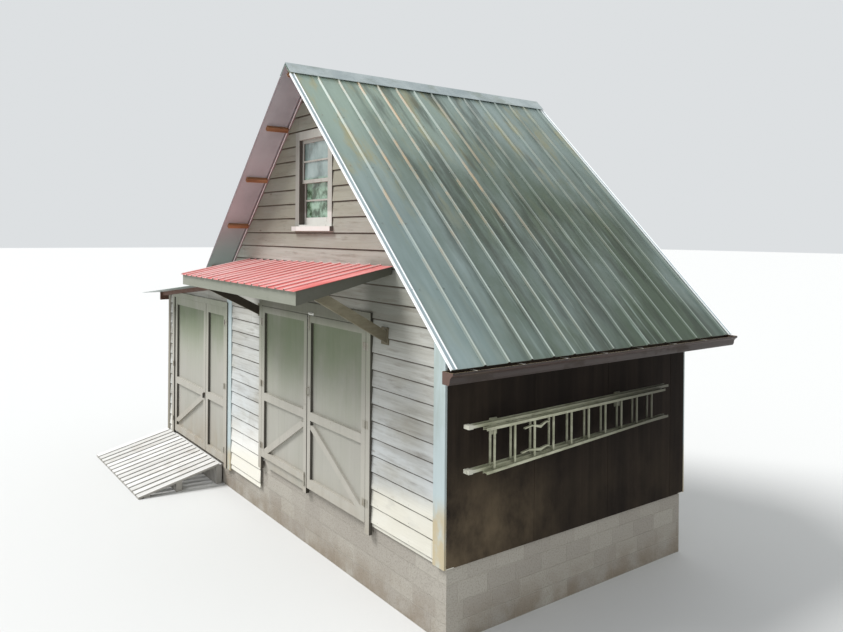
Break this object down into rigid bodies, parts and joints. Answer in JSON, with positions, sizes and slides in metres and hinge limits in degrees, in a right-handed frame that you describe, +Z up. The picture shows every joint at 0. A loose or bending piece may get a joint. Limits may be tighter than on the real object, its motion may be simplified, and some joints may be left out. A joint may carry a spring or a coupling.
{
  "type": "small barn with lean-to",
  "caption": "Small gabled barn with metal roof, paired front doors under a canopy, a lean-to with its own doors and ramp, a gable window and a ladder on the side.",
  "frame": {"origin": "underside of the front foundation wall, below the middle of the barn's front", "axes": "+X right along the front, +Y back, +Z up"},
  "size_m": [9.84, 5.453, 6.3261],
  "materials": {
    "roof_metal": "weathered",
    "roof_trim": "satin",
    "canopy_metal": "faded",
    "gutter_metal": "satin",
    "hanger_metal": "dull",
    "foundation": "rough",
    "siding": "weathered",
    "dark_siding": "matt",
    "corner_trim": "faded paint",
    "rake_strip": "faded paint",
    "purlin_wood": "stained",
    "rafter_wood": "rough sawn",
    "floor_boards": "rough sawn",
    "brown_trim": "satin paint",
    "door_paint": "matt paint",
    "window_paint": "satin paint",
    "window_glass": "clear",
    "ramp_wood": "weathered",
    "ladder_wood": "weathered",
    "hardware": "worn"
  },
  "bodies": {
    "barn": {"canopy_braces": "door_paint", "canopy_fascias": "door_paint", "canopy_sheet": "canopy_metal", "canopy_timbers": "rafter_wood", "corner_boards": "corner_trim", "door_casings": "door_paint", "door_hinges": "hardware", "eave_fascia": "brown_trim", "foundation_front": "foundation", "foundation_rear": "foundation", "foundation_sides": "foundation", "front_gable": "siding", "front_wall_left": "siding", "front_wall_right": "siding", "gutter": "gutter_metal", "gutter_hangers": "hanger_metal", "ladder_boots": "ladder_wood", "ladder_brackets": "ladder_wood", "ladder_rails": "ladder_wood", "ladder_rungs": "ladder_wood", "leanto_floor": "floor_boards", "leanto_front_header": "siding", "leanto_front_left": "siding", "leanto_front_right": "siding", "leanto_left_wall": "siding", "leanto_rafters": "rafter_wood", "leanto_rake_boards": "brown_trim", "leanto_rear_wall": "siding", "leanto_roof_sheet": "roof_metal", "left_wall": "siding", "loft_floor": "floor_boards", "loft_joists": "rafter_wood", "main_floor": "floor_boards", "purlins": "purlin_wood", "rafters": "rafter_wood", "rake_strips": "rake_strip", "rake_trims": "roof_trim", "ramp_bearers": "ramp_wood", "ramp_boards": "ramp_wood", "rear_wall": "siding", "ridge_board": "rafter_wood", "ridge_cap": "roof_trim", "right_wall": "dark_siding", "roof_sheet_left": "roof_metal", "roof_sheet_right": "roof_metal", "window_frames": "window_paint", "window_glass": "window_glass", "window_sashes": "window_paint"},
    "main_door_left": {"main_door_left_panel": "door_paint", "main_door_left_frame": "door_paint", "main_door_left_bolt": "hardware"},
    "main_door_right": {"main_door_right_panel": "door_paint", "main_door_right_frame": "door_paint", "main_door_right_handle": "hardware"},
    "leanto_door_left": {"leanto_door_left_panel": "door_paint", "leanto_door_left_frame": "door_paint", "leanto_door_hasp": "hardware"},
    "leanto_door_right": {"leanto_door_right_panel": "door_paint", "leanto_door_right_frame": "door_paint"}
  },
  "joints": [
    {"name": "main_left_swing", "type": "hinge", "parent": "barn", "child": "main_door_left", "pos_m": [-1.4725, -0.153, 1.9], "axis": [0, 0, -1], "range_deg": [0, 90]},
    {"name": "main_right_swing", "type": "hinge", "parent": "barn", "child": "main_door_right", "pos_m": [1.4125, -0.153, 1.9], "axis": [0, 0, 1], "range_deg": [0, 90]},
    {"name": "leanto_left_swing", "type": "hinge", "parent": "barn", "child": "leanto_door_left", "pos_m": [-5.4775, -0.153, 1.6], "axis": [0, 0, -1], "range_deg": [0, 90]},
    {"name": "leanto_right_swing", "type": "hinge", "parent": "barn", "child": "leanto_door_right", "pos_m": [-2.9245, -0.153, 1.6], "axis": [0, 0, 1], "range_deg": [0, 90]}
  ]
}
